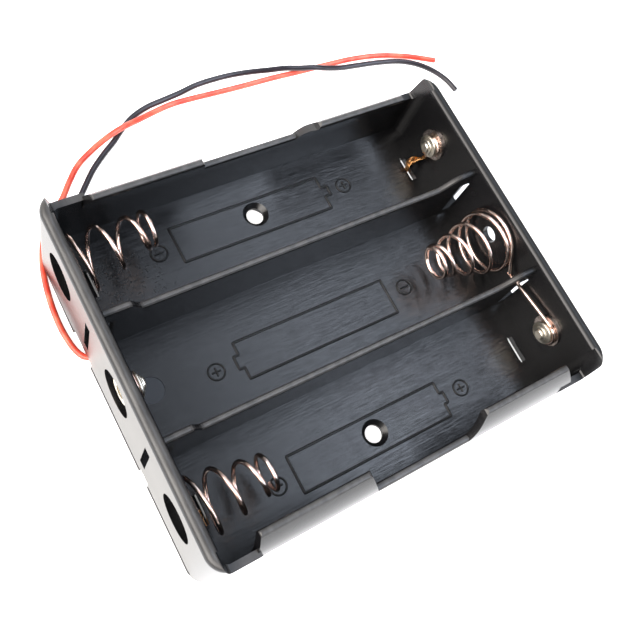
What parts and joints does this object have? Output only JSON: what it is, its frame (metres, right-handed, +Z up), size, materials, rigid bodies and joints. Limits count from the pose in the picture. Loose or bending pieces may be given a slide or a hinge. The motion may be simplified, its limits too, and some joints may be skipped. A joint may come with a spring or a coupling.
{
  "type": "cylindrical cell holder",
  "caption": "Open moulded tray that holds cylindrical cells side by side between cone springs and rivet buttons and wires them in series, with free red and black leads.",
  "frame": {"origin": "centre of the tray's footprint, at the plane it stands on; the free leads are left out of it", "axes": "+X along the cells towards the end where the middle bay has its spring, +Y across the bays towards the bay with the red lead, +Z up out of the open top"},
  "size_m": [0.0987, 0.0862, 0.0196],
  "materials": {
    "black_plastic": "smooth moulded floor with a satin sheen",
    "spring_wire": "nickel plated wire, warm tint",
    "plated_button": "nickel plated, smooth",
    "red_insulation": "smooth flexible insulation",
    "black_insulation": "smooth flexible insulation",
    "copper_strands": "bare twisted strands",
    "solder": "solder"
  },
  "bodies": {
    "tray": {"tray": "black_plastic", "button_bay_1": "plated_button", "button_bay_2": "plated_button", "button_bay_3": "plated_button", "washer_bay_1": "plated_button", "washer_bay_2": "plated_button", "washer_bay_3": "plated_button", "red_lead": "red_insulation", "black_lead": "black_insulation", "red_lead_under_tray": "red_insulation", "black_lead_under_tray": "black_insulation", "red_strands": "copper_strands", "black_strands": "copper_strands", "spring_solder_joint": "solder"},
    "spring_1": {"spring_bay_1": "spring_wire"},
    "spring_2": {"spring_bay_2": "spring_wire"},
    "spring_3": {"spring_bay_3": "spring_wire"}
  },
  "joints": [
    {"name": "press_spring_1", "type": "slide", "parent": "tray", "child": "spring_1", "axis": [-1, 0, 0], "range_m": [0, 0.009], "stiffness_N_per_m": 400, "deforming": ["spring_bay_1"]},
    {"name": "press_spring_2", "type": "slide", "parent": "tray", "child": "spring_2", "axis": [1, 0, 0], "range_m": [0, 0.009], "stiffness_N_per_m": 400, "deforming": ["spring_bay_2"]},
    {"name": "press_spring_3", "type": "slide", "parent": "tray", "child": "spring_3", "axis": [-1, 0, 0], "range_m": [0, 0.009], "stiffness_N_per_m": 400, "deforming": ["spring_bay_3"]}
  ]
}
